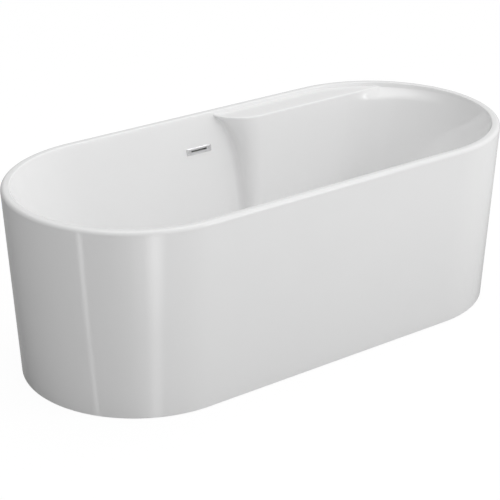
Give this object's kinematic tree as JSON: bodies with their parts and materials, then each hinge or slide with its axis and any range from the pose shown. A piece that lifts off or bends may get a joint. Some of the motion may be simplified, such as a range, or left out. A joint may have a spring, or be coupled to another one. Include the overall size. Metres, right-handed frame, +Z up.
{
  "type": "freestanding bathtub",
  "caption": "Freestanding oval bathtub with a flat rim, a shelf along one side, a slot overflow and a push-open waste, on levelling feet behind its skirt.",
  "frame": {"origin": "on the floor under the middle of the tub", "axes": "+X along the tub towards the end with the shelf, +Y towards the long side with the shelf, +Z up"},
  "size_m": [1.7, 0.78, 0.59],
  "materials": {
    "acrylic": "gloss",
    "adhesive": "matte",
    "chipboard": "raw",
    "timber": "raw",
    "frame_steel": "satin",
    "zinc_steel": "satin",
    "chrome": "polished",
    "black_rubber": "matte",
    "foot_plastic": "matte",
    "white_plastic": "matte",
    "grey_plastic": "matte",
    "pipe_plastic": "matte"
  },
  "bodies": {
    "tub": {"basin": "acrylic", "skirt": "acrylic", "rim_bond": "adhesive", "base_board": "chipboard", "frame_rails": "frame_steel", "frame_cross_members": "frame_steel", "weld_nuts": "zinc_steel", "lock_nuts": "zinc_steel", "skirt_blocks": "timber", "skirt_brackets": "zinc_steel", "bracket_screws": "zinc_steel", "board_screws": "zinc_steel", "overflow_cover": "chrome", "overflow_seal": "black_rubber", "overflow_body": "white_plastic", "overflow_pipe": "pipe_plastic", "overflow_elbow": "grey_plastic", "cross_pipe": "pipe_plastic", "pipe_nuts": "grey_plastic", "waste_flange": "chrome", "waste_seals": "black_rubber", "plug_cartridge": "zinc_steel", "waste_body": "white_plastic", "trap": "white_plastic", "trap_seal": "black_rubber", "trap_nuts": "grey_plastic", "outlet_pipe": "white_plastic"},
    "plug": {"waste_plug": "chrome", "plug_seal": "black_rubber"},
    "foot_1": {"foot_stud_1": "zinc_steel", "foot_pad_1": "foot_plastic"},
    "foot_2": {"foot_stud_2": "zinc_steel", "foot_pad_2": "foot_plastic"},
    "foot_3": {"foot_stud_3": "zinc_steel", "foot_pad_3": "foot_plastic"},
    "foot_4": {"foot_stud_4": "zinc_steel", "foot_pad_4": "foot_plastic"},
    "foot_5": {"foot_stud_5": "zinc_steel", "foot_pad_5": "foot_plastic"}
  },
  "joints": [
    {"name": "plug_lift", "type": "slide", "parent": "tub", "child": "plug", "axis": [0, 0, 1], "range_m": [0, 0.008]},
    {"name": "foot_1_level", "type": "slide", "parent": "tub", "child": "foot_1", "axis": [0, 0, -1], "range_m": [0, 0.015]},
    {"name": "foot_2_level", "type": "slide", "parent": "tub", "child": "foot_2", "axis": [0, 0, -1], "range_m": [0, 0.015]},
    {"name": "foot_3_level", "type": "slide", "parent": "tub", "child": "foot_3", "axis": [0, 0, -1], "range_m": [0, 0.015]},
    {"name": "foot_4_level", "type": "slide", "parent": "tub", "child": "foot_4", "axis": [0, 0, -1], "range_m": [0, 0.015]},
    {"name": "foot_5_level", "type": "slide", "parent": "tub", "child": "foot_5", "axis": [0, 0, -1], "range_m": [0, 0.015]}
  ]
}
